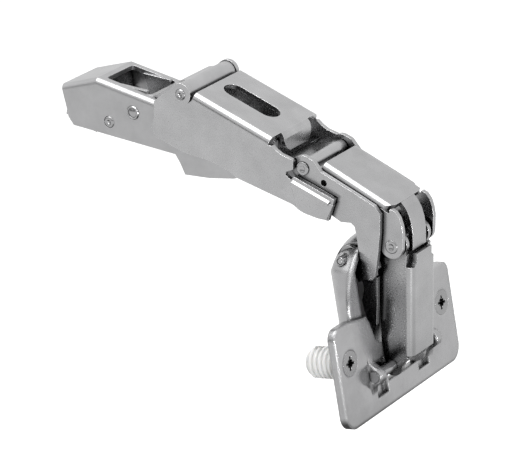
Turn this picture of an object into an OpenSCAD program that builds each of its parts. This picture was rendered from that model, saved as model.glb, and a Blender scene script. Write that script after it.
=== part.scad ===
// Wide-angle concealed cup hinge with a clip-on arm, drawn with the door fully open.
// The frame is the door's: X points out of its inner face, Y runs along the pivot pins and
// Z points to its hinge edge. The origin lies on the door face, midway between the dowels.
// The arm and the levers are drawn in the arm's own frame, tilted to the door's: X runs along
// the arm and out of the cabinet, Z stands square to the cabinet side.

/* [Motion] */
// Angle between the closed and the fully open door
opening_angle = 166; // [162:0.5:170]

/* [Sheet metal] */
// Thickness of the arm's sheet
arm_sheet = 1.2; // [1:0.05:1.3]
// Thickness of the levers' sheet
lever_sheet = 1.2; // [1:0.05:1.3]
// Side gap between neighbouring plates
layer_gap = 0.4; // [0.3:0.05:0.45]
// Outer radius of the long bends
bend_r = 1.8; // [1.5:0.1:2.2]

/* [Rear arm] */
// Half of the rear arm's width
rear_half = 8.6; // [8.4:0.1:9]
// Length of the rear arm behind the ear pin
rear_length = 38; // [36:0.5:42]
// Height of the rear arm at its crown
rear_height = 14.2; // [13.5:0.1:15]
// Outer radius of the rear arm's bends
rear_bend_r = 1.5; // [1.5:0.1:2]

/* [Front arm] */
// Half of the front arm's width
front_half = 11.3; // [11.2:0.1:11.6]
// Width of the slot over the side screw
slot_w = 6; // [5:0.5:7]
// Length of the slot over the side screw
slot_length = 16.4; // [13:0.2:17]
// Half of the width of the flap at the front arm's end
flap_half = 6.2; // [5.5:0.1:7]
// How far the fork's cheeks stand out of the front arm
cheek_step = 0.7; // [0.4:0.1:0.9]
// Half of the side travel of the front arm, in degrees
side_travel = 1.5; // [1:0.5:2]

/* [Pivots] */
// Ear pin that joins the rear and front arm, in the arm's X and Z
ear = [-59.5, 51.9]; // [-60:0.1:55]
// Pin of the outer levers in the arm
lever_pivot = [-24, 40.9]; // [-25:0.1:42]
// Pin of the top link in the arm's bracket
link_pivot = [-17.9, 39.2]; // [-19:0.1:40]
// Pin between the top link and the inner lever
elbow = [1.2, 26.3]; // [0:0.1:28]
// Pin that crosses the outer levers and the inner lever
cross_pivot = [-5.4, 27.8]; // [-6:0.1:29]
// Studs at the tips of the outer levers
tip_pivot = [-4.2, 19]; // [-5:0.1:20]
// Lower cup pin, as height along the flange and height over it
cup_low = [-6.35, 1.1]; // [-7:0.05:2]
// Upper cup pin, as height along the flange and height over it
cup_high = [22.6, -5.1]; // [-6:0.05:23]

/* [Pins] */
// Diameter of the lever pins
pin_d = 2.4; // [2.2:0.1:2.6]
// Diameter of the ear pin and the lower cup pin
big_pin_d = 2.8; // [2.6:0.1:3]
// Diameter of a flat rivet end
head_d = 3.4; // [3.2:0.1:3.8]
// Radial running clearance of every pin
pin_fit = 0.05; // [0.03:0.01:0.08]

/* [Top link] */
// Half of the width of the strap in front of the elbow
strap_half = 3.2; // [2.8:0.1:3.4]

/* [Flange] */
// Length of the flange along the pins
flange_length = 55.6; // [55.5:0.1:57]
// Reach of the flange below the dowels
flange_low = 16.4; // [15.8:0.1:18]
// Reach of the flange's wings above the dowels
flange_high = 9.9; // [9.5:0.1:10.5]
// Thickness of the flange's sheet
flange_sheet = 1.2; // [1:0.05:1.3]
// Height of the flange's turned-down rim
flange_rim = 2; // [1.7:0.1:2.3]
// Distance between the two dowels
dowel_spacing = 45; // [43:0.5:45]

/* [Cup] */
// Diameter of the recess drilled in the door
cup_bore = 35; // [35:0.1:35.6]
// Distance from the dowel line to the centre of the cup
cup_offset = 9.5; // [9.3:0.1:10]
// Depth of the cup behind the flange's face
cup_depth = 10.9; // [10.6:0.1:11.4]
// Half of the width over the cup's flat sides
cup_flat_half = 13.5; // [13.3:0.1:13.8]
// Thickness of the cup's wall
cup_wall = 0.9; // [0.7:0.05:1]

/* [Dowels] */
// Diameter of the drilled dowel hole
dowel_d = 8; // [7.6:0.1:8.4]
// Length of a dowel behind the flange
dowel_length = 9.4; // [9:0.2:11]
// Number of ribs round a dowel
rib_count = 6; // [4:1:7]
// Diameter of a screw's shank
screw_d = 3.6; // [3.2:0.1:4]
// Diameter of a screw's head
screw_head_d = 6.4; // [6:0.1:7]

/* [Hidden] */

$fn = 48;
far = 60;
steel = [0.74, 0.74, 0.75];
bright = [0.85, 0.85, 0.86];

// Half widths of the nested plates, from the arm's walls inwards
front_inner = front_half - arm_sheet;
outer_y = front_inner - layer_gap;
outer_inner = outer_y - lever_sheet;
link_y = outer_inner - layer_gap;
link_inner = link_y - lever_sheet;
inner_y = link_inner - 2.5 * layer_gap;
cheek_half = front_half + cheek_step;
rear_inner = rear_half - arm_sheet;

pin_r = pin_d / 2;
big_pin_r = big_pin_d / 2;
head_r = head_d / 2;
bore_r = pin_r + pin_fit;
big_bore_r = big_pin_r + pin_fit;

// The arm's frame seen from the door's
tilt = 180 - opening_angle;
function arm_from_cup(p) = [p[1] * cos(tilt) - p[0] * sin(tilt), p[1] * sin(tilt) + p[0] * cos(tilt)];
cup_low_arm = arm_from_cup(cup_low);
cup_high_arm = arm_from_cup(cup_high);

// Points given as steps from a pivot
function from(p, steps) = [for (s = steps) p + s];
function lerp(a, b, t) = a + (b - a) * t;
function arc(p, r, from_a, to_a, steps) =
    [for (i = [0 : steps]) p + r * [cos(lerp(from_a, to_a, i / steps)), sin(lerp(from_a, to_a, i / steps))]];

module in_arm() {
    translate([flange_rim, 0, 0]) rotate([0, tilt, 0]) children();
}

module in_cup() {
    translate([flange_rim, 0, 0]) children();
}

// An outline in X and Z, extruded along Y from y0 to y1
module slab(y0, y1) {
    translate([0, y1, 0]) rotate([90, 0, 0]) linear_extrude(y1 - y0) children();
}

// The same outline as a plate on both sides
module side_plates(outer, sheet) {
    slab(-outer, sheet - outer) children();
    slab(outer - sheet, outer) children();
}

module disc(p, r) {
    translate(p) circle(r);
}

module pin(p, r, half) {
    translate([p[0], 0, p[1]]) rotate([90, 0, 0]) cylinder(r = r, h = 2 * half, center = true);
}

// Cross section of a bar whose two upper edges are rounded
module bar_section(half, r, depth) {
    translate([-half, -depth]) square([2 * half, depth - r]);
    translate([r - half, -depth]) square([2 * (half - r), depth]);
    for (s = [-1, 1]) translate([s * (half - r), -r]) intersection() {
        circle(r);
        translate([-r, 0]) square([2 * r, r]);
    }
}

// Bent-over top of a channel along the outer line from p to q, with legs that lap over the walls
lap = 0.02;
module cap(p, q, half, sheet, r, depth) {
    run = q - p;
    translate([p[0], 0, p[1]]) rotate([0, -atan2(run[1], run[0]), 0]) rotate([90, 0, 90])
        linear_extrude(norm(run)) difference() {
            bar_section(half + lap, r, depth);
            translate([0, -sheet]) bar_section(half - sheet - lap, max(r - sheet, 0.3), depth + r);
        }
}

// Endless bar below the line through p and q, its rounded edges drawn in short flats
module endless_bar(p, q, half, r) {
    flats = 8;
    run = (q - p) / norm(q - p);
    start = p - run * far;
    translate([start[0], 0, start[1]]) rotate([0, -atan2(run[1], run[0]), 0]) rotate([90, 0, 90])
        linear_extrude(3 * far) polygon(concat(
            [[-half, -far], [half, -far]], arc([half - r, -r], r, 0, 90, flats), arc([r - half, -r], r, 90, 180, flats)
        ));
}

// Channel bent from one sheet: an outline seen from the side, under two sloping tops
module channel(tops, half, sheet, r) {
    inner = inset(tops, sheet);
    difference() {
        intersection() {
            slab(-half, half) children();
            endless_bar(tops[0], tops[1], half, r);
            endless_bar(tops[1], tops[2], half, r);
        }
        intersection() {
            endless_bar(inner[0], inner[1], half - sheet, r - sheet);
            endless_bar(inner[1], inner[2], half - sheet, r - sheet);
        }
    }
}

// A path moved to its right by d, with mitred corners
function right_of(a, b) = [(b - a)[1], (a - b)[0]] / norm(b - a);
function inset(points, d) = let (
    last = len(points) - 1,
    side = [for (i = [0 : last - 1]) right_of(points[i], points[i + 1])]
) [for (i = [0 : last]) let (n0 = side[max(i - 1, 0)], n1 = side[min(i, last - 1)])
    points[i] + (n0 + n1) / (1 + n0 * n1) * d];
function backwards(points) = [for (i = [len(points) - 1 : -1 : 0]) points[i]];

// Outline of a bent sheet whose outer side follows the points
function strip(points, sheet) = concat(points, backwards(inset(points, sheet)));

// Rear arm, which carries the clip and the eye for the ear pin

rear_base = ear[1] - 17.5;
rear_end = ear[0] - rear_length;
rear_top = [rear_end, rear_base + 10];
crown = [rear_end + 10.5, rear_base + rear_height];
shoulder = [ear[0] - 12.4, crown[1] - 1.5];
rear_front = lerp(crown, shoulder, 1.6);
saddle_rear = ear + [1.5, -9.7];
saddle_front = ear + [16.5, -14.2];
eye_r = big_pin_r + pin_fit + arm_sheet;
wall_top = bend_r + 0.2;

module rear_wall_outline() {
    polygon(concat(
        [[rear_end + 2.1, rear_base + 3.8], [rear_end + 2.6, rear_base + 1.9], [rear_end + 4.3, rear_base]],
        from(ear, [[-2.5, -17.5], [-0.9, -19.5], [0.7, -22.2], [8.1, -21.2], [15.5, -19.4], [17, -18.2]]),
        [saddle_front + [0.5, 0], saddle_rear, rear_front + [0, 1], crown + [0, 1], rear_top]
    ));
}

// Window over the clip
module window_plan() {
    window_half = 5.9;
    corner = 1;
    rear = crown[0] + 1.6;
    run = shoulder[0] - rear;
    for (x = [rear + corner, shoulder[0] - corner], y = [-1, 1])
        translate([x, y * (window_half - corner)]) circle(corner);
    translate([rear, corner - window_half]) square([run, 2 * (window_half - corner)]);
    translate([rear + corner, -window_half]) square([run - 2 * corner, 2 * window_half]);
}

module rear_arm() {
    color(steel) in_arm() {
        difference() {
            union() {
                channel([rear_top, crown, rear_front], rear_half, arm_sheet, rear_bend_r) rear_wall_outline();
                slab(-rear_inner - 0.3, rear_inner + 0.3)
                    polygon(strip([saddle_rear + [0.3, -0.5], saddle_front + [0.3, -0.5]], arm_sheet));
            }
            pin(frame_rivet_at, frame_rivet_r + pin_fit, far);
            pin(clip_pin_at, clip_pin_r + pin_fit, far);
            translate([0, 0, shoulder[1] - 2.2]) linear_extrude(5) window_plan();
            // The tongue is bent up out of the top
            translate([shoulder[0] + 1.6, -6.6, shoulder[1] - 4]) cube([20, 13.2, 8]);
            translate([side_screw_x, 0, 0]) cylinder(r = side_screw_r + pin_fit, h = far);
        }
        slab(-6.3, 6.3) difference() {
            polygon(strip([shoulder, shoulder + [1.8, 0.5], ear + [-6.6, -1.1], ear + [-3.2, 1.6],
                ear + [-0.4, eye_r - 0.1]], arm_sheet));
            disc(ear, eye_r - 0.3);
        }
        difference() {
            pin(ear, eye_r, front_inner - 0.15);
            pin(ear, big_bore_r, far);
        }
    }
}

// Clip: a frame riveted in the rear arm and a sprung release lever behind it

frame_rivet_at = [ear[0] - 15.7, rear_base + 7.9];
frame_rivet_r = 1.8;
clip_pin_at = [ear[0] - 22.8, rear_base + 3.6];
clip_pin_r = 1.5;
clip_half = rear_inner - 0.15;
clip_sheet = 1.1;
clip_floor = rear_base + 1.6;

module clip_frame() {
    leaf_half = 5.8;
    color(steel) in_arm() {
        difference() {
            side_plates(leaf_half, clip_sheet) polygon(concat(
                from(ear, [[-21.8, -4.4], [-13.7, -4.2], [-13, -6.4], [-8, -12.5], [-3, -15.3], [-3, -17.3],
                    [-6.5, -17.3]]),
                [[ear[0] - 8, clip_floor], [ear[0] - 14.5, clip_floor], [ear[0] - 18.4, clip_floor + 2.8]]
            ));
            pin(frame_rivet_at, frame_rivet_r + pin_fit, far);
        }
        slab(-leaf_half, leaf_half) translate([ear[0] - 14.5, clip_floor]) square([6.5, clip_sheet]);
    }
}

module clip_lever() {
    plate = [[rear_end + 1.6, rear_top[1] - 1.8], crown + [0.2, -1.9], crown + [1.2, -6.5]];
    color(steel) in_arm() {
        difference() {
            side_plates(clip_half, clip_sheet) union() {
                polygon(concat(
                    [plate[0] + [0.1, -0.4], plate[1] + [-0.2, -0.4], plate[2] + [-0.3, 0.1]],
                    from(clip_pin_at, [[2, 1.2], [0, -2.5], [-4, -3], [-4.7, -4.4], [-6.7, -4.1], [-10.4, -2.4]]),
                    [[rear_end + 1, rear_base + 1.8], [rear_end + 1.2, rear_base + 3.6]]
                ));
                disc(clip_pin_at, 2.7);
            }
            pin(clip_pin_at, clip_pin_r + pin_fit, far);
        }
        slab(-clip_half, clip_half) polygon(strip(plate, clip_sheet));
    }
}

module clip_frame_rivet() {
    color(bright) in_arm() pin(frame_rivet_at, frame_rivet_r, rear_half + 0.3);
}

module clip_lever_pin() {
    color(bright) in_arm() difference() {
        pin(clip_pin_at, clip_pin_r, rear_half + 0.25);
        for (s = [-1, 1]) translate([0, s * (rear_half + 0.25), 0]) pin(clip_pin_at, 0.7, 0.6);
    }
}

// Torsion spring wound on the lever's pin: its close coils are one turned body
module clip_spring() {
    wire = 0.8;
    turns = 5;
    inner_r = clip_pin_r + 0.05;
    coil_r = inner_r + wire / 2;
    half = turns * wire / 2;
    color(bright) in_arm() translate([clip_pin_at[0], 0, clip_pin_at[1]]) rotate([90, 0, 0]) {
        rotate_extrude() polygon(concat(
            [[inner_r, -half]],
            [for (i = [0 : turns - 1], a = [-60, -20, 20, 60])
                [coil_r + wire / 2 * cos(a), (i + 0.5) * wire - half + wire / 2 * sin(a)]],
            [[inner_r, half]]
        ));
        translate([0, -coil_r, half - wire / 2]) rotate([0, 90, 0]) cylinder(d = wire * 0.9, h = 7.6);
        translate([0, coil_r, wire / 2 - half]) rotate([0, -70, 0]) cylinder(d = wire * 0.9, h = 4);
    }
}

// Depth cam on the clip frame's floor
module depth_cam() {
    color(bright) in_arm() translate([ear[0] - 11.2, 0, clip_floor + clip_sheet]) difference() {
        union() {
            cylinder(r = 2.8, h = 1.6);
            cylinder(r = 2.2, h = 4.2);
        }
        for (a = [20, 110]) translate([0, 0, 4.2]) rotate([0, 0, a]) cube([3.2, 0.8, 2.4], center = true);
    }
}

// Front arm, side adjusted about the ear pin

top_slope = -15.1;
function on_top(x) = [x, ear[1] + 1.1 + (x - ear[0] - 4.4) * tan(top_slope)];
top_length = 22.6;
top_rear = on_top(ear[0] + 4);
top_front = on_top(top_rear[0] + top_length);
fork_end = lever_pivot + [10.2, -5.1];
ledge = from(lever_pivot, [[-1.5, -2.1], [9.3, -4.9]]);

module front_wall_outline() {
    polygon(concat(
        from(ear, [[-7.8, -3.7], [-7.6, -5.5], [-7.6, -8.2], [-8.2, -10.8], [-6.7, -13.1], [2.2, -15.1],
            [9.5, -15.2], [15.3, -16.6], [17.4, -17.7]]),
        from(lever_pivot, [[-1.6, -9.4], [0.2, -10.2], [2.3, -10.7], [6, -11], [8.9, -11.05]]),
        [fork_end, ledge[0]],
        from(lever_pivot, [[-2.3, -3.1], [-3.9, -2.3], [-3.8, -1.4], [-2, -0.4], [-2, 1.7], [-2.6, 2.2], [-5.5, 2.7],
            [-7.2, 3.5], [-8.3, 4.3]]),
        backwards(inset([top_rear, top_front - [0.2, 0]], wall_top)),
        from(ear, [[2.2, -1.9], [2.6, 0.6], [1.4, 2.3], [-1.8, 2.3]])
    ));
    disc(ear, 2.9);
}

// Flap bent down at the end of the top, with two round corners
module flap() {
    corner = 3.2;
    tip = top_front + [1.8, -4.8];
    low = tip[1] - 0.2;
    intersection() {
        slab(-flap_half, flap_half) polygon(strip([
            top_front - [1.5, 1.5 * tan(top_slope)], top_front, top_front + [0.75, -0.7], top_front + [1.1, -1.6], tip
        ], arm_sheet));
        union() {
            translate([-far, -flap_half, low + corner]) cube([far, 2 * flap_half, far]);
            translate([-far, corner - flap_half, low]) cube([far, 2 * (flap_half - corner), far]);
            for (s = [-1, 1]) translate([-far, s * (flap_half - corner), low + corner]) rotate([0, 90, 0])
                cylinder(r = corner, h = far);
        }
    }
}

// Cheek of the fork, pressed outwards, with a sloping ledge over the outer lever
module cheek() {
    run = ledge[1] - ledge[0];
    difference() {
        slab(-cheek_half, -front_inner)
            polygon(from(lever_pivot, [[-1.9, -3.6], [10, -6.7], [8.6, -10.8], [6, -10.8], [2.4, -10.5], [0.4, -9.9]]));
        // The front of the cheek slants back to the wall
        translate([lever_pivot[0] + 6.8, -cheek_half, 0]) rotate([0, 0, 12]) translate([0, -5, 0])
            cube([20, 5, far]);
    }
    translate([ledge[0][0], 0, ledge[0][1]]) rotate([0, -atan2(run[1], run[0]), 0]) rotate([90, 0, 90])
        linear_extrude(norm(run)) polygon([
            [-outer_y - 0.15, 0], [-outer_y - 0.15, -0.9], [-front_half, -1.8],
            [-cheek_half, -2.1], [-cheek_half, -1.35]
        ]);
}

module front_arm() {
    slot_a = on_top(ear[0] + 9);
    slot_run = slot_length - slot_w;
    color(steel) in_arm() difference() {
        union() {
            side_plates(front_half, arm_sheet) front_wall_outline();
            cap(top_rear, top_front, front_half, arm_sheet, bend_r, bend_r + 0.5);
            flap();
            for (s = [0, 1]) mirror([0, s, 0]) cheek();
        }
        pin(ear, big_bore_r, far);
        translate([slot_a[0], 0, slot_a[1]]) rotate([0, -top_slope, 0]) {
            for (x = [0, slot_run]) translate([x, 0, 0]) cylinder(d = slot_w, h = 6, center = true);
            translate([slot_run / 2, 0, 0]) cube([slot_run, slot_w, 6], center = true);
        }
        // The pressing leaves each cheek hollow behind
        for (s = [0, 1]) mirror([0, s, 0]) slab(arm_sheet - cheek_half, 1 - front_inner)
            polygon(from(lever_pivot, [[0.4, -4.6], [6.2, -6.2], [5.8, -9.6], [1.1, -9]]));
    }
}

module ear_pin() {
    color(bright) in_arm() pin(ear, big_pin_r, front_half + 0.35);
}

// Side-adjusting screw, threaded into the rear arm's saddle and reached through the slot
side_screw_x = ear[0] + 8;
side_screw_r = 1.9;
module side_screw() {
    saddle_z = lerp(saddle_rear, saddle_front, (side_screw_x - saddle_rear[0]) / (saddle_front - saddle_rear)[0])[1];
    color(bright) in_arm() translate([side_screw_x, 0, saddle_z]) difference() {
        union() {
            translate([0, 0, 1.6]) cylinder(r = 2.8, h = 3.4);
            translate([0, 0, -5]) cylinder(r = side_screw_r, h = 8);
        }
        for (a = [30, 120]) translate([0, 0, 5]) rotate([0, 0, a]) cube([3.8, 0.9, 2.4], center = true);
    }
}

// Bracket in the fork: a rolled eye for the outer levers' pin and two ears for the top link's pin

eye_outer = bore_r + 0.75;
link_end_r = 4;

module pivot_bracket() {
    ear_y = link_inner - 0.5;
    web_z = lever_pivot[1] - 2.1;
    color(steel) in_arm() {
        difference() {
            pin(lever_pivot, eye_outer, outer_inner - 0.3);
            pin(lever_pivot, bore_r, far);
        }
        difference() {
            slab(-ear_y, ear_y) polygon(strip([
                lever_pivot + [-13, -1], lever_pivot + [-7.6, -0.2], lever_pivot + [-2, 1.5],
                lever_pivot + [-0.5, eye_outer - 0.02]
            ], 0.9));
            pin(lever_pivot, eye_outer - 0.1, far);
        }
        slab(-front_inner, front_inner) polygon(strip([
            lever_pivot + [-13, -1], lever_pivot + [-7.6, -0.2]
        ], 0.9));
        difference() {
            side_plates(ear_y, lever_sheet) union() {
                polygon(concat(
                    from(lever_pivot, [[-13, -1.2], [-8, -0.4], [-5, -0.4], [-3.6, -3.4], [0.6, -6]]),
                    from(link_pivot, [[-1.7, -4.4], [-1.7, 0], [1.7, 0], [1.9, -5.4], [0.8, -6.4], [-14, -5.6]])
                ));
                disc(link_pivot, 1.75);
            }
            pin(link_pivot, bore_r, far);
        }
    }
}

// Outer levers: two cranked plates outside the top link

lever_end_r = 3.3;
module outer_outline() {
    difference() {
        polygon(concat(
            arc(lever_pivot, lever_end_r, 235, 75, 16),
            from(lever_pivot, [[2.6, 2.7], [5.1, 0.3], [16.7, -3.3], [20.6, -4.6], [22.3, -6.3]]),
            from(tip_pivot, [[2.8, 10.4], [2.7, 5], [2.3, -1], [1.6, -2.1], [-0.8, -2.6], [-1.9, 1.7],
                [-3.7, 8.6], [-4.3, 10.6], [-5.4, 11.3], [-8.2, 10.8]]),
            from(lever_pivot, [[6, -9]])
        ));
        disc(lever_pivot, bore_r);
        disc(lever_pivot + [6.1, -2.3], 0.85);
    }
}

// Plate on one side, drilled half through from inside for the crossing pin
cross_pin_half = outer_inner + 0.6;
module outer_lever(s) {
    color(steel) in_arm() mirror([0, s, 0]) difference() {
        slab(-outer_y, -outer_inner) outer_outline();
        pin(cross_pivot, bore_r, cross_pin_half + 0.05);
    }
}

module outer_lever_near() {
    outer_lever(0);
}

module outer_lever_far() {
    outer_lever(1);
}

module lever_pin() {
    color(bright) in_arm() {
        pin(lever_pivot, pin_r, outer_y + 0.3);
        for (s = [-1, 1]) translate([0, s * (outer_y + 0.25), 0]) pin(lever_pivot, head_r, 0.2);
    }
}

module cross_pin() {
    color(bright) in_arm() pin(cross_pivot, pin_r, cross_pin_half);
}

// A stud on the inside of each outer lever's tip
stud_r = 0.8;
module tip_studs() {
    stud = outer_inner - link_inner;
    color(bright) in_arm() for (s = [-1, 1])
        translate([0, s * (outer_inner - stud / 2), 0]) pin(tip_pivot, stud_r, stud / 2);
}

// Top link: a channel with two prongs to the elbow and a strap between them

link_slope = -18.25;
link_normal = [-sin(link_slope), cos(link_slope)];
link_along = [cos(link_slope), sin(link_slope)];
link_rear = link_pivot + link_normal * 3.2 - link_along * 2.4;
link_front = link_pivot + link_normal * 3.2 + link_along * 18.2;

module prong_outline() {
    difference() {
        union() {
            intersection() {
                disc(link_pivot, link_end_r);
                polygon([
                    link_rear - link_normal * (bend_r + 0.07),
                    link_rear + link_along * 9 - link_normal * (bend_r + 0.07),
                    link_pivot + [9, -9], link_pivot + [-9, -9], link_pivot + [-9, 1]
                ]);
            }
            polygon(concat(
                [link_rear - link_normal * (bend_r + 0.07), link_front - link_normal * (bend_r + 0.07)],
                from(elbow, [[-0.9, 9.7], [0.4, 9.3], [1.6, 8], [2.4, 6.2], [2.9, 4.2], [3.1, 0.2], [-3, 0.2], [-3.2, 3.6],
                    [-4.4, 5.4]]),
                from(link_pivot, [[7, -5.4], [0, -link_end_r], [-2, -1]])
            ));
            disc(elbow, 3.1);
        }
        disc(link_pivot, bore_r);
        disc(elbow, bore_r);
    }
}

// What is cut from the top's front corner to round it
module link_corner() {
    round_r = 3;
    translate([link_front[0], 0, link_front[1]]) rotate([0, -link_slope, 0])
        translate([-round_r, round_r - link_y - lap, -bend_r - 0.5]) difference() {
            translate([0, -2 * round_r, 0]) cube([2 * round_r, 2 * round_r, 4]);
            translate([0, 0, -1]) cylinder(r = round_r, h = 6);
        }
}

module top_link() {
    strap = from(elbow, [[-3.4, 11], [-1.2, 10.3], [0.4, 8.9], [1.5, 7.3], [2.4, 5.2], [3, 2.6], [3.4, -1.6]]);
    color(steel) in_arm() {
        side_plates(link_y, lever_sheet) prong_outline();
        difference() {
            cap(link_rear, link_front, link_y, lever_sheet, bend_r, bend_r + 0.14);
            for (s = [0, 1]) mirror([0, s, 0]) link_corner();
        }
        slab(-strap_half, strap_half) polygon(strip(strap, lever_sheet));
    }
}

module link_pin() {
    color(bright) in_arm() pin(link_pivot, pin_r, link_y);
}

// Inner lever: a deep channel from the elbow down to the lower cup pin

inner_top = elbow + [4.8, -2.1];
inner_foot = cup_low_arm + [5.4, 3.5];
tab_half = 3.6;

// Side wall with a hook round the crossing pin, open to the rear
module inner_outline() {
    difference() {
        union() {
            disc(elbow, 3.1);
            disc(cup_low_arm, 2.9);
            polygon(concat(
                from(elbow, [[0, 2.8], [-5.6, 5.8], [-8.2, 5.6], [-7.8, 0], [-6.2, -2.4], [-5, -4.6]]),
                from(cup_low_arm, [[-2.8, 0.4], [2.8, 0.2], [4.2, 3]]),
                backwards(inset([inner_top, inner_foot], wall_top)),
                [elbow + [2.7, 0]]
            ));
        }
        disc(elbow, bore_r);
        disc(cup_low_arm, big_bore_r);
        slot_r = pin_r + 0.45;
        for (z = [-0.5, 1.1]) disc(cross_pivot + [0.2, z], slot_r);
        translate(cross_pivot + [0.2 - 6, -0.5 - slot_r]) square([6, 1.6 + 2 * slot_r]);
        translate(cross_pivot + [0.2, -0.5]) square([slot_r, 1.6]);
        polygon(from(cross_pivot, [[-6, 0], [0, 0], [0, -2.1], [-0.8, -2.7], [-6, -2.9]]));
    }
}

module inner_lever() {
    color(steel) in_arm() difference() {
        union() {
            side_plates(inner_y, lever_sheet) inner_outline();
            cap(inner_top, inner_foot, inner_y, lever_sheet, bend_r, bend_r + 0.5);
        }
        // The plate's top is a tab as wide as the strap, with round feet
        for (s = [0, 1]) mirror([0, s, 0]) translate([elbow[0] + 3.2, tab_half, inner_top[1] - 3.2]) {
            translate([0, 0, 1.3]) cube([9, 9, 9]);
            translate([0, 1.3, 1.3]) rotate([0, 90, 0]) cylinder(r = 1.3, h = 9);
            translate([0, 1.3, 0]) cube([9, 9, 9]);
        }
    }
}

module elbow_pin() {
    color(bright) in_arm() {
        pin(elbow, pin_r, link_y);
        for (s = [-1, 1]) translate([0, s * (link_y + 0.1), 0]) pin(elbow, head_r, 0.1);
    }
}

// Cup link: from the upper cup pin to the outer levers' tips, with a tail for the spring

module cup_link_outline() {
    along = (tip_pivot - cup_high_arm) / norm(tip_pivot - cup_high_arm);
    difference() {
        union() {
            disc(cup_high_arm, 2.6);
            polygon(concat(
                [cup_high_arm + [0.4, 2.5]],
                from(tip_pivot, [[0.2, 2.7], [1.9, 2.2], [2.4, 0.6], [2.1, -2.6], [2.6, -9], [2.8, -14.4], [1.6, -15],
                    [0.2, -13.4], [-1, -11.4], [-1.8, -9], [-1.4, -6.2], [-1.8, -4.2]]),
                [cup_high_arm + [2, -3.4], cup_high_arm + [-0.6, -2.5]]
            ));
        }
        disc(cup_high_arm, bore_r);
        // Slot along which the levers' stud travels, open at the front
        disc(tip_pivot - along * 1, stud_r + 0.45);
        translate(tip_pivot - along * 1) rotate(atan2(along[1], along[0])) translate([0, -stud_r - 0.42])
            square([6, 2 * stud_r + 0.9]);
    }
}

module cup_link() {
    color(steel) in_arm() {
        side_plates(link_y, lever_sheet) cup_link_outline();
        slab(-link_y, link_y) polygon(strip(from(cup_high_arm, [[-0.4, -2.5], [2.6, -3.6], [4, -5.6]]), 1));
    }
}

module cup_link_pin() {
    // Its ends are dressed flush with the round of the cup, to clear the recess
    color(bright) in_cup() intersection() {
        pin([cup_high[1], cup_high[0]], pin_r, cup_r);
        translate([0, 0, cup_offset]) rotate([0, -90, 0]) cylinder(r = cup_r, h = cup_depth, $fn = 96);
    }
}

// Cup and flange, pressed as one

cup_r = cup_bore / 2 - 0.2;
cup_inner_r = cup_r - cup_wall;
lip_r = cup_bore / 2 + 0.4;
cup_floor_r = 7;
flat_floor_r = 7.6;
corner_r = 4;
wing_r = 2.8;
knuckle_in = 12.6;
knuckle_out = 15;
pin_half = knuckle_out;
screw_head_h = 1.6;
pad_rise = flange_rim - 0.2;
screw_reach = pad_rise + 3.6;

// Round cup body as a revolved shell, turned so that its axis runs along X
module cup_solid(r, depth, floor_r) {
    translate([0, 0, cup_offset]) rotate([0, -90, 0]) rotate_extrude($fn = 96) {
        square([r - floor_r, depth]);
        square([r, depth - floor_r]);
        translate([r - floor_r, depth - floor_r]) intersection() {
            circle(floor_r);
            square(floor_r + 1);
        }
    }
}

// The cup's flat sides, which run into its floor in a wide bend
module flat_sides(half, depth, floor_r) {
    translate([-depth, 0, -far]) linear_extrude(2 * far) rotate(90)
        bar_section(half, floor_r, 2 * far);
}

// Outline of the flange as seen from the front, less a trim: Y is across, the second axis is height
module flange_plan(trim = 0) {
    half = flange_length / 2 - trim;
    low = flange_low - trim;
    high = flange_high - trim;
    corner = corner_r - trim;
    wing = wing_r - trim;
    for (s = [-1, 1]) {
        translate([s * (half - corner), corner - low]) circle(corner);
        translate([s * (half - wing), high - wing]) circle(wing);
    }
    polygon([
        [corner - half, -low], [half - corner, -low], [half, corner - low], [half, high - wing],
        [half - wing, high], [half - 7.3, high], [13.3, high - 1.3], [-13.3, high - 1.3], [7.3 - half, high],
        [wing - half, high], [-half, high - wing], [-half, corner - low]
    ]);
}

// Opening in the flange for the levers and the cup
module mouth_plan() {
    side = cup_flat_half - cup_wall;
    polygon([
        [-6.9, -10.2], [6.9, -10.2], [7.3, 0], [10, 1.8], [11.4, 6.4], [side, 8.4], [side, far],
        [-side, far], [-side, 8.4], [-11.4, 6.4], [-10, 1.8], [-7.3, 0]
    ]);
}

// A plan in Y and Z, extruded along X from x0 to x1
module face_slab(x0, x1) {
    translate([x0, 0, 0]) rotate([90, 0, 90]) linear_extrude(x1 - x0) children();
}

// Knuckle pressed up over one end of the lower cup pin
module knuckle() {
    p = [cup_low[1], cup_low[0]];
    r = big_pin_r + 0.9;
    slab(-knuckle_out, -knuckle_in) {
        disc(p, r);
        polygon([
            [-flange_sheet, p[1] - 5], [0, p[1] - 4.6], [0.4, p[1] - 3.2], [p[0] + 0.6, p[1] - r + 0.1],
            [p[0] + 0.6, p[1] + r - 0.1], [0.4, p[1] + 3.2], [0, p[1] + 4.6], [-flange_sheet, p[1] + 5]
        ]);
    }
}

// Recess beside a knuckle, where the pin lies bare
module pocket() {
    translate([0.8 - flange_rim, -knuckle_in, cup_low[0] - 6.4]) cube([far, knuckle_in - 7.4, 9]);
}

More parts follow.
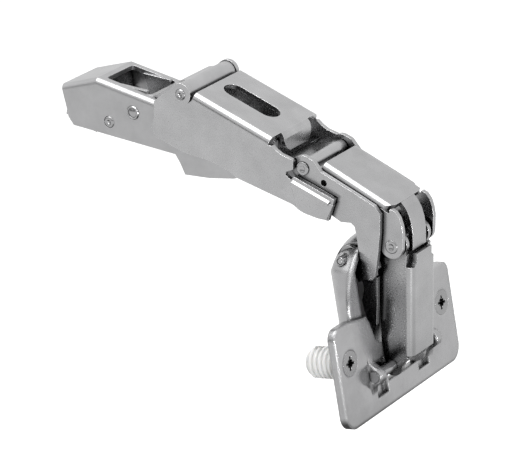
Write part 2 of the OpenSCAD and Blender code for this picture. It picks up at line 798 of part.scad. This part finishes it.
module cup() {
    pin_at = [cup_low[1], cup_low[0]];
    color(steel) in_cup() difference() {
        union() {
            // Flange with its turned-down rim, and a pad under each screw
            difference() {
                face_slab(-flange_rim, 0) flange_plan();
                difference() {
                    face_slab(-flange_rim - 1, -flange_sheet) flange_plan(flange_sheet);
                    for (s = [-1, 1]) translate([-pad_rise, s * dowel_spacing / 2, 0]) rotate([0, 90, 0])
                        cylinder(r = screw_head_d / 2 + 0.6, h = far);
                    translate([-far, -knuckle_in - 1, cup_low[0] - 7.4]) cube([2 * far, 2 * (knuckle_in + 1), 11]);
                }
            }
            // Round lip over the edge of the recess
            intersection() {
                translate([-flange_rim, 0, cup_offset]) rotate([0, 90, 0])
                    cylinder(r = lip_r, h = cup_wall, $fn = 96);
                translate([-far, -far, 0]) cube([2 * far, 2 * far, far]);
            }
            intersection() {
                cup_solid(cup_r, cup_depth, cup_floor_r);
                flat_sides(cup_flat_half, cup_depth + 0.2, flat_floor_r);
                translate([cup_wall - flange_rim - far, -far, -far]) cube([far, 2 * far, 2 * far]);
            }
            for (s = [0, 1]) mirror([0, s, 0]) knuckle();
        }
        // Hollow of the cup
        intersection() {
            translate([1, 0, 0]) cup_solid(cup_inner_r, cup_depth - cup_wall + 1, cup_floor_r - cup_wall);
            flat_sides(cup_flat_half - cup_wall, cup_depth + 0.2 - cup_wall, flat_floor_r - cup_wall);
            translate([-far - flange_sheet, -far, -far]) cube([far, 2 * far, 2 * far]);
        }
        face_slab(-flange_rim - 0.1, 6) intersection() {
            mouth_plan();
            union() {
                translate([-far, -far]) square([2 * far, far + cup_offset]);
                translate([0, cup_offset]) circle(cup_inner_r, $fn = 96);
            }
        }
        // Notches in the rim for the cup link and the outer levers
        for (s = [0, 1]) mirror([0, s, 0]) {
            translate([cup_high[1] - 3.1, -link_y - layer_gap, cup_high[0] - 3])
                cube([8, lever_sheet + 2 * layer_gap, 6.9]);
            translate([0.1 - flange_rim, -outer_y - 0.2, cup_high[0] - 3]) cube([3, 3, 4.6]);
        }
        for (s = [0, 1]) mirror([0, s, 0]) pocket();
        pin(pin_at, big_bore_r, pin_half + 0.1);
        pin([cup_high[1], cup_high[0]], bore_r, far);
        for (s = [-1, 1]) translate([0, s * dowel_spacing / 2, 0]) rotate([0, -90, 0]) {
            cylinder(r1 = screw_head_d / 2 + pin_fit, r2 = screw_d / 2 + pin_fit, h = screw_head_h);
            cylinder(r = screw_d / 2 + pin_fit, h = far);
        }
    }
}

module cup_pin() {
    color(bright) in_cup() pin([cup_low[1], cup_low[0]], big_pin_r, pin_half);
}

// Leaf spring on the cup's floor, below the cup link's tail
module cup_spring() {
    floor_w = cup_wall - cup_depth;
    color(bright) in_cup() slab(-4.6, 4.6) polygon(strip([
        [floor_w + 3.2, 18.5], [floor_w + 1.6, 15], [floor_w + 0.6, 9], [floor_w + 0.6, 0]
    ], 0.55));
}

// Dowel: a plastic plug with barbed ribs round it, bored for the screw and split at its tip
module dowel(s) {
    neck = 0.25;
    pitch = (dowel_length - neck) / (rib_count + 0.6);
    crest_r = dowel_d / 2;
    root_r = crest_r - 0.7;
    color("white") in_cup() translate([-pad_rise, s * dowel_spacing / 2, 0]) rotate([0, -90, 0]) difference() {
        rotate_extrude() polygon(concat(
            [[0, 0], [root_r, 0]],
            [for (i = [0 : rib_count - 1], p = [[crest_r, 0.02], [crest_r, 0.4], [root_r, 0.98]])
                [p[0], neck + (i + p[1]) * pitch]],
            [[root_r, dowel_length - 0.6], [root_r - 0.6, dowel_length], [0, dowel_length]]
        ));
        translate([0, 0, -1]) cylinder(r = screw_d / 2 + pin_fit, h = screw_reach - pad_rise + 1.1);
        translate([-far, -0.45, screw_reach - pad_rise + 2.2]) cube([2 * far, 0.9, far]);
    }
}

module dowel_near() {
    dowel(-1);
}

module dowel_far() {
    dowel(1);
}

module screw(s) {
    color(bright) in_cup() translate([0, s * dowel_spacing / 2, 0]) rotate([0, -90, 0]) difference() {
        union() {
            cylinder(r1 = screw_head_d / 2, r2 = screw_d / 2, h = screw_head_h);
            cylinder(r = screw_d / 2, h = screw_reach);
        }
        for (a = [0, 45, 90, 135]) rotate([0, 0, a + 10])
            cube([a % 90 == 0 ? 3.6 : 2.4, 0.7, 2], center = true);
    }
}

module screw_near() {
    screw(-1);
}

module screw_far() {
    screw(1);
}

rear_arm();
clip_frame();
clip_lever();
clip_lever_pin();
clip_frame_rivet();
clip_spring();
depth_cam();
front_arm();
ear_pin();
side_screw();
pivot_bracket();
outer_lever_near();
outer_lever_far();
lever_pin();
cross_pin();
tip_studs();
top_link();
link_pin();
inner_lever();
elbow_pin();
cup_link();
cup_link_pin();
cup();
cup_pin();
cup_spring();
dowel_near();
dowel_far();
screw_near();
screw_far();
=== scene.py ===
"""Looks of the wide-angle concealed cup hinge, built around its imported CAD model."""
import math

import bmesh
import bpy
from mathutils import Matrix, Vector


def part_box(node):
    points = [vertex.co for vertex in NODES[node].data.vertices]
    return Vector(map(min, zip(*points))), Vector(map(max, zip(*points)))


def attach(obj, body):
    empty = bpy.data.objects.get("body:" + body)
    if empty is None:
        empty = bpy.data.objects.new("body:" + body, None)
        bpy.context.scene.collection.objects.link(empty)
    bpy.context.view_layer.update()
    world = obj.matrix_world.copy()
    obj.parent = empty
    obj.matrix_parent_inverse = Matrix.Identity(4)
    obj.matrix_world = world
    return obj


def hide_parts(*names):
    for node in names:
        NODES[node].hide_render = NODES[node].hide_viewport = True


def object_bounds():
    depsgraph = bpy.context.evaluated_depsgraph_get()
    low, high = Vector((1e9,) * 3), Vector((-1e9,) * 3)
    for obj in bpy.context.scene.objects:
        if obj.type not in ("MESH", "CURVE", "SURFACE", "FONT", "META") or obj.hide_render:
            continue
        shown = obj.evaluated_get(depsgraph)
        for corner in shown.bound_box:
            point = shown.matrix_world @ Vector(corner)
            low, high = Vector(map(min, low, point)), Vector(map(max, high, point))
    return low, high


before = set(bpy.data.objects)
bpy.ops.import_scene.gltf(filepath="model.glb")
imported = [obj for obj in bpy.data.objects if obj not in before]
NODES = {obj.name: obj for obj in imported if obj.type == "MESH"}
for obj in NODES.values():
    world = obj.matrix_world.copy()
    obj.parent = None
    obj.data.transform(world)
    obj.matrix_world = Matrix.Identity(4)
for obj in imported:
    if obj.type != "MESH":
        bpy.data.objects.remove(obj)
CAD_BOX = [list(c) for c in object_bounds()]
MM = 0.001
scene = bpy.context.scene


# Camera: a long lens from the photograph's viewpoint

LENS = 226.3
PLACE = Vector((0.4300, -0.6524, 0.2526))
ACROSS = Vector((0.8303, 0.5349, -0.1571))
AHEAD = Vector((-0.5570, 0.7839, -0.2743))


def make_camera():
    """The photograph's view: fitted from the arm's parallels, the dowels and the pins."""
    data = bpy.data.cameras.new("camera")
    data.sensor_fit = "HORIZONTAL"
    data.sensor_width = 36.0
    data.lens = LENS
    data.clip_start = 0.05
    data.clip_end = 20.0
    cam = bpy.data.objects.new("camera", data)
    scene.collection.objects.link(cam)
    right = ACROSS.normalized()
    view = AHEAD.normalized()
    up = right.cross(view).normalized()
    right = view.cross(up).normalized()
    turn = Matrix((right, up, -view)).transposed().to_4x4()
    cam.matrix_world = Matrix.Translation(PLACE) @ turn
    scene.camera = cam


make_camera()


# Materials

GRAIN_DEPTH = 0.02 * MM


class Nodes:
    """Short names for building a material's node tree."""

    def __init__(self, name):
        self.material = bpy.data.materials.new(name)
        self.material.use_nodes = True
        self.tree = self.material.node_tree
        self.tree.nodes.clear()
        self.out = self.add("ShaderNodeOutputMaterial")
        self.bsdf = self.add("ShaderNodeBsdfPrincipled")
        self.link(self.bsdf.outputs[0], self.out.inputs["Surface"])
        self.coords = self.add("ShaderNodeTexCoord").outputs["Object"]

    def add(self, kind, **settings):
        node = self.tree.nodes.new(kind)
        for key, value in settings.items():
            setattr(node, key, value)
        return node

    def link(self, a, b):
        self.tree.links.new(a, b)

    def noise(self, scale, detail=3.0, rough=0.5, stretch=None):
        node = self.add("ShaderNodeTexNoise")
        node.inputs["Scale"].default_value = scale
        node.inputs["Detail"].default_value = detail
        node.inputs["Roughness"].default_value = rough
        if stretch is None:
            self.link(self.coords, node.inputs["Vector"])
        else:
            mapping = self.add("ShaderNodeMapping")
            mapping.inputs["Scale"].default_value = stretch
            self.link(self.coords, mapping.inputs["Vector"])
            self.link(mapping.outputs[0], node.inputs["Vector"])
        return node.outputs["Fac"]

    def span(self, value, low, high, to_low, to_high):
        node = self.add("ShaderNodeMapRange")
        limits = {"From Min": low, "From Max": high, "To Min": to_low, "To Max": to_high}
        for key, limit in limits.items():
            node.inputs[key].default_value = limit
        self.link(value, node.inputs["Value"])
        return node.outputs[0]

    def blend(self, fac, a, b):
        node = self.add("ShaderNodeMix", data_type="RGBA")
        self.link(fac, node.inputs["Factor"])
        for socket, colour in ((node.inputs[6], a), (node.inputs[7], b)):
            socket.default_value = (*colour, 1.0)
        return node.outputs[2]

    def bump(self, height, strength, normal):
        node = self.add("ShaderNodeBump")
        node.inputs["Strength"].default_value = strength
        node.inputs["Distance"].default_value = GRAIN_DEPTH
        self.link(height, node.inputs["Height"])
        self.link(normal, node.inputs["Normal"])
        return node.outputs[0]

    def round_edges(self, radius):
        node = self.add("ShaderNodeBevel", samples=4)
        node.inputs["Radius"].default_value = radius
        return node.outputs[0]

    def math(self, operation, a, b):
        node = self.add("ShaderNodeMath", operation=operation)
        for socket, value in zip(node.inputs, (a, b)):
            if isinstance(value, (int, float)):
                socket.default_value = value
            else:
                self.link(value, socket)
        return node.outputs[0]

    def edge_mask(self, rounded):
        """1 on an edge, 0 on a flat face: how far the rounded normal leans from the true one."""
        dot = self.add("ShaderNodeVectorMath", operation="DOT_PRODUCT")
        self.link(rounded, dot.inputs[0])
        self.link(self.add("ShaderNodeNewGeometry").outputs["Normal"], dot.inputs[1])
        return self.span(dot.outputs["Value"], 0.8, 0.99, 1.0, 0.0)

    def painted_corner_shade(self, distance, darkest, open_at):
        """Painted shade from ambient occlusion: 1 on faces at least open_at open, down to darkest in
        corners and between plates.
        """
        node = self.add("ShaderNodeAmbientOcclusion", samples=16)
        node.inputs["Distance"].default_value = distance
        return self.span(node.outputs["AO"], 0.25, open_at, darkest, 1.0)


def steel(name, tone, rough, edge=0.2, grain=0.08, crevice=0.06, shine=1.8, reach=3.5,
          open_at=0.85):
    """Nickel-plated pressed steel: cloudy plating, rolled grain, a painted highlight on rounded edges,
    painted shade in corners.
    """
    n = Nodes(name)
    cloud = n.span(n.noise(140.0, 4.0, 0.6), 0.3, 0.7, 0.90, 1.06)
    soft = n.round_edges(edge * MM)
    # Painted highlight: the base colour is made brighter by up to shine on rounded edges
    painted_edge_highlight = n.span(n.edge_mask(soft), 0.0, 1.0, 1.0, shine)
    level = n.math("MULTIPLY", cloud, painted_edge_highlight)
    # Painted shade: the base colour is darkened in corners and between plates
    level = n.math("MULTIPLY", level, n.painted_corner_shade(reach * MM, crevice, open_at))
    level = n.math("MULTIPLY", level, tone)
    colour = n.add("ShaderNodeCombineColor")
    for channel, tint in zip(colour.inputs, (1.0, 1.0, 1.012)):
        n.link(n.math("MULTIPLY", level, tint), channel)
    n.link(colour.outputs[0], n.bsdf.inputs["Base Color"])
    n.bsdf.inputs["Metallic"].default_value = 1.0
    speck = n.noise(2600.0, 2.0, 0.6)
    n.link(n.span(speck, 0.25, 0.75, rough - 0.04, rough + 0.05), n.bsdf.inputs["Roughness"])
    grain_height = n.noise(900.0, 3.0, 0.6, stretch=(0.25, 1.0, 1.0))
    n.link(n.bump(grain_height, grain, soft), n.bsdf.inputs["Normal"])
    return n.material


def plastic(name, colour):
    """White moulded nylon, a little translucent."""
    n = Nodes(name)
    cloud = n.span(n.noise(500.0, 3.0), 0.3, 0.7, 0.0, 1.0)
    n.link(n.blend(cloud, tuple(c * 0.97 for c in colour), colour), n.bsdf.inputs["Base Color"])
    n.bsdf.inputs["Roughness"].default_value = 0.42
    n.bsdf.inputs["Subsurface Weight"].default_value = 0.25
    n.bsdf.inputs["Subsurface Radius"].default_value = (0.0012, 0.0011, 0.001)
    n.bsdf.inputs["Subsurface Scale"].default_value = 1.0
    skin = n.bump(n.noise(3000.0, 2.0), 0.2, n.round_edges(0.12 * MM))
    n.link(skin, n.bsdf.inputs["Normal"])
    return n.material


# In each look, shine sets the painted edge highlight; crevice, reach and open_at set the painted shade
# in corners
LOOKS = {
    "rear": steel("rear_steel", 0.49, 0.33, crevice=0.02, reach=5.0, open_at=0.6),
    "arm": steel("pressed_steel", 0.50, 0.25),
    "lever": steel("lever_steel", 0.47, 0.25),
    "inner": steel("inner_steel", 0.46, 0.25, crevice=0.02, reach=8.0, open_at=0.9),
    "cup": steel("cup_steel", 0.45, 0.22, edge=1.2, shine=1.3),
    "rivet": steel("rivet_steel", 0.44, 0.2, edge=0.05, grain=0.1, crevice=0.02, reach=0.9),
    "screw": steel("screw_steel", 0.36, 0.26, edge=0.06, grain=0.1, crevice=0.0, reach=1.2),
    "spring": steel("spring_steel", 0.3, 0.3, edge=0.1, grain=0.1),
    "dowel": plastic("dowel_plastic", (0.86, 0.86, 0.85)),
}

NODE_LOOKS = {
    "rear": ["rear_arm"],
    "arm": ["front_arm", "clip_frame", "clip_lever", "pivot_bracket"],
    "lever": ["outer_lever_near", "outer_lever_far", "top_link"],
    "inner": ["inner_lever", "cup_link"],
    "cup": ["cup"],
    "rivet": ["ear_pin", "clip_frame_rivet", "clip_lever_pin", "lever_pin", "cross_pin", "tip_studs",
              "link_pin", "elbow_pin", "cup_link_pin", "cup_pin"],
    "screw": ["side_screw", "depth_cam", "screw_near", "screw_far"],
    "spring": ["clip_spring", "cup_spring"],
    "dowel": ["dowel_near", "dowel_far"],
}


def dress(obj, look):
    """Give every slot of a piece one of the looks."""
    if not obj.material_slots:
        obj.data.materials.append(LOOKS[look])
    for slot in obj.material_slots:
        slot.material = LOOKS[look]


for look, names in NODE_LOOKS.items():
    for name in names:
        dress(NODES[name], look)


# Turned pins and the wound spring

SHARP_ANGLE = math.radians(35)
LATHE_STEPS = 56
WIRE_SIDES = 8
COIL_STEPS = 28
ARM_TILT = math.radians(14)


def new_piece(name, verts, faces, look, body, node):
    """A piece in the row frame that stands for a CAD node and moves with its body."""
    mesh = bpy.data.meshes.new(name)
    mesh.from_pydata(verts, [], faces)
    mesh.polygons.foreach_set("use_smooth", [True] * len(mesh.polygons))
    mesh.set_sharp_from_angle(angle=SHARP_ANGLE)
    mesh.update()
    obj = bpy.data.objects.new(name, mesh)
    scene.collection.objects.link(obj)
    dress(obj, look)
    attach(obj, body)
    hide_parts(node)


def lathe(centre, profile):
    """Vertices and faces of a body turned about a line along Y. The profile is (radius, y) pairs."""
    verts, faces = [], []
    rings = []
    for r, y in profile:
        if r == 0:
            rings.append([len(verts)] * LATHE_STEPS)
            verts.append((centre[0], y, centre[2]))
        else:
            rings.append(list(range(len(verts), len(verts) + LATHE_STEPS)))
            for i in range(LATHE_STEPS):
                a = 2 * math.pi * i / LATHE_STEPS
                verts.append((centre[0] + r * math.cos(a), y, centre[2] + r * math.sin(a)))
    for low, high in zip(rings, rings[1:]):
        for i in range(LATHE_STEPS):
            j = (i + 1) % LATHE_STEPS
            corners = [low[i], low[j], high[j], high[i]]
            corners = [c for k, c in enumerate(corners) if c != corners[k - 1]]
            if len(corners) > 2:
                faces.append(corners)
    return verts, faces


def turned_pin(node, body, ends, shank=None):
    """A riveted pin in place of a CAD pin.

    The end face is given as (share of the radius, depth in mm) from the axis out. A shank, as its
    radius and the head's thickness in mm, narrows the pin between its heads.
    """
    low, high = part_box(node)
    centre = [(a + b) / 2 for a, b in zip(low, high)]
    radius = (high[0] - low[0]) / 2
    half = (high[1] - low[1]) / 2
    face = [(share * radius, depth * MM) for share, depth in ends]
    if shank:
        shank_r, head = shank
        face += [(radius, head * MM), (shank_r * MM, head * MM)]
    profile = [(r, centre[1] - half + d) for r, d in face]
    profile += [(r, centre[1] + half - d) for r, d in reversed(face)]
    verts, faces = lathe(centre, profile)
    new_piece(node + "_turned", verts, faces, "rivet", body, node)


DIMPLE = [(0.0, 0.5), (0.2, 0.46), (0.38, 0.12), (0.46, 0.03), (0.72, 0.0), (0.84, 0.1), (1.0, 0.34)]
FLAT_END = [(0.0, 0.05), (0.50, 0.06), (0.62, 0.2), (0.68, 0.2), (0.74, 0.0), (0.88, 0.02), (1.0, 0.26)]
HEAD = [(0.0, 0.22), (0.30, 0.2), (0.46, 0.05), (0.54, 0.0), (0.84, 0.0), (0.94, 0.04), (1.0, 0.14)]
SHANK = (1.2, 0.24)

turned_pin("ear_pin", "rear", DIMPLE)
turned_pin("clip_frame_rivet", "rear", FLAT_END)
turned_pin("clip_lever_pin", "rear", DIMPLE)
turned_pin("cup_link_pin", "cup", FLAT_END)
turned_pin("lever_pin", "outer_levers", HEAD, SHANK)
turned_pin("elbow_pin", "top_link", HEAD, SHANK)

# The screws' edges are broken, as on rolled and stamped heads
for name in ("screw_near", "screw_far"):
    chamfer = NODES[name].modifiers.new("chamfer", "BEVEL")
    chamfer.width = 0.22 * MM
    chamfer.segments = 2
    chamfer.limit_method = "ANGLE"
    chamfer.angle_limit = math.radians(40)


def tube(path, radius):
    """A round wire along a path of points."""
    verts, faces = [], []
    side = None
    for i, p in enumerate(path):
        ahead = (path[min(i + 1, len(path) - 1)] - path[max(i - 1, 0)]).normalized()
        side = ahead.orthogonal() if side is None else side - ahead * side.dot(ahead)
        side.normalize()
        other = ahead.cross(side)
        for k in range(WIRE_SIDES):
            a = 2 * math.pi * k / WIRE_SIDES
            verts.append(tuple(p + radius * (math.cos(a) * side + math.sin(a) * other)))
    for i in range(len(path) - 1):
        here = i * WIRE_SIDES
        there = here + WIRE_SIDES
        for k in range(WIRE_SIDES):
            j = (k + 1) % WIRE_SIDES
            faces.append([here + k, here + j, there + j, there + k])
    faces.append(list(range(WIRE_SIDES))[::-1])
    last_ring = (len(path) - 1) * WIRE_SIDES
    faces.append([last_ring + k for k in range(WIRE_SIDES)])
    return verts, faces


def wound_spring():
    """The clip's torsion spring, wound from round wire, with its two legs."""
    low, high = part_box("clip_lever_pin")
    axis = Vector([(a + b) / 2 for a, b in zip(low, high)])
    wire_r = 0.39 * MM
    coil = 1.96 * MM
    half = 1.6 * MM
    turns = 4.5
    long_leg = 7.2 * MM
    short_leg = 3.6 * MM
    along = Vector((math.cos(ARM_TILT), 0.0, -math.sin(ARM_TILT)))
    up = Vector((math.sin(ARM_TILT), 0.0, math.cos(ARM_TILT)))
    first = axis - up * coil - Vector((0.0, half, 0.0))
    path = [first + along * long_leg * (1 - i / 5) for i in range(5)]
    steps = int(turns * COIL_STEPS)
    for i in range(steps + 1):
        a = 2 * math.pi * turns * i / steps
        side = Vector((0.0, 2 * half * i / steps - half, 0.0))
        path.append(axis + side - up * coil * math.cos(a) - along * coil * math.sin(a))
    last = path[-1]
    path += [last + along * short_leg * (i / 4) for i in range(1, 5)]
    verts, faces = tube(path, wire_r)
    new_piece("clip_spring_wound", verts, faces, "spring", "rear", "clip_spring")


wound_spring()


# Floor, studio and lamps

FLOOR_Z = CAD_BOX[0][2] - 45 * MM
FLOOR_GLOW = 0.62
HINGE_MIDDLE = (0.0, 0.0, 0.03)
DARK_FRONT = 0.2
GREY_BACK = 1.1
HIGH = 1.15
DIFFUSE_LEVEL = 0.5


def make_floor():
    """A wide white floor that glows a little for the camera and keeps the shadow."""
    mesh = bpy.data.meshes.new("floor")
    made = bmesh.new()
    bmesh.ops.create_grid(made, x_segments=1, y_segments=1, size=6.0)
    made.to_mesh(mesh)
    made.free()
    floor = bpy.data.objects.new("floor", mesh)
    floor.location = (0.0, 0.0, FLOOR_Z)
    scene.collection.objects.link(floor)
    n = Nodes("floor_white")
    n.bsdf.inputs["Roughness"].default_value = 1.0
    n.bsdf.inputs["Specular IOR Level"].default_value = 0.0
    speck = n.span(n.noise(40.0), 0.3, 0.7, 0.0, 1.0)
    n.link(n.blend(speck, (0.79, 0.79, 0.79), (0.8, 0.8, 0.8)), n.bsdf.inputs["Base Color"])
    path = n.add("ShaderNodeLightPath")
    lit = n.add("ShaderNodeEmission")
    n.link(n.math("MULTIPLY", path.outputs["Is Camera Ray"], FLOOR_GLOW), lit.inputs["Strength"])
    seen = n.add("ShaderNodeAddShader")
    n.link(n.bsdf.outputs[0], seen.inputs[0])
    n.link(lit.outputs[0], seen.inputs[1])
    # Painted shadow for reflections: glossy rays see the floor dark below the hinge and white farther
    # out
    away = n.add("ShaderNodeVectorMath", operation="LENGTH")
    n.link(n.coords, away.inputs[0])
    mirrored = n.add("ShaderNodeEmission")
    n.link(n.span(away.outputs["Value"], 0.05, 0.13, 0.1, 0.92), mirrored.inputs["Strength"])
    both = n.add("ShaderNodeMixShader")
    n.link(path.outputs["Is Glossy Ray"], both.inputs[0])
    n.link(seen.outputs[0], both.inputs[1])
    n.link(mirrored.outputs[0], both.inputs[2])
    n.link(both.outputs[0], n.out.inputs["Surface"])
    mesh.materials.append(n.material)


class WorldNodes(Nodes):
    """The same short names for the world's node tree."""

    def __init__(self, world):
        world.use_nodes = True
        self.tree = world.node_tree
        self.tree.nodes.clear()


def make_world():
    """Studio walls: bright above, dark low in front, grey behind. The camera sees plain white."""
    world = bpy.data.worlds.new("studio")
    scene.world = world
    n = WorldNodes(world)
    out = n.add("ShaderNodeOutputWorld")
    back = n.add("ShaderNodeBackground")
    split = n.add("ShaderNodeSeparateXYZ")
    n.link(n.add("ShaderNodeTexCoord").outputs["Generated"], split.inputs[0])
    depth = split.outputs["Y"]
    height = split.outputs["Z"]
    low = n.span(depth, -0.7, 0.5, DARK_FRONT, GREY_BACK)
    rise = n.span(height, 0.1, 0.35, 0.0, 1.0)
    low_part = n.math("MULTIPLY", low, n.math("SUBTRACT", 1.0, rise))
    studio = n.math("ADD", low_part, n.math("MULTIPLY", rise, HIGH))
    path = n.add("ShaderNodeLightPath")
    diffuse = n.math("MULTIPLY", path.outputs["Is Diffuse Ray"], DIFFUSE_LEVEL)
    mirrored = n.math("MULTIPLY", path.outputs["Is Glossy Ray"], studio)
    strength = n.math("ADD", path.outputs["Is Camera Ray"], n.math("ADD", diffuse, mirrored))
    n.link(strength, back.inputs["Strength"])
    n.link(back.outputs[0], out.inputs["Surface"])


def make_lamp(name, place, target, size, power):
    """A rectangular area lamp at a place, turned to a target."""
    data = bpy.data.lights.new(name, "AREA")
    data.shape = "RECTANGLE"
    data.size, data.size_y = size
    data.energy = power
    lamp = bpy.data.objects.new(name, data)
    scene.collection.objects.link(lamp)
    lamp.location = place
    lamp.rotation_euler = (Vector(target) - Vector(place)).to_track_quat("-Z", "Y").to_euler()


make_floor()
make_world()
make_lamp("softbox", (-0.02, -0.16, 0.8), HINGE_MIDDLE, (0.8, 0.75), 5.6)
make_lamp("fill", (0.7, -0.5, 0.35), HINGE_MIDDLE, (0.4, 0.3), 0.6)
make_lamp("strip", (0.17, -0.125, -0.03), (0.0, 0.0, 0.0), (0.03, 0.05), 0.1)

scene.view_settings.view_transform = "Standard"
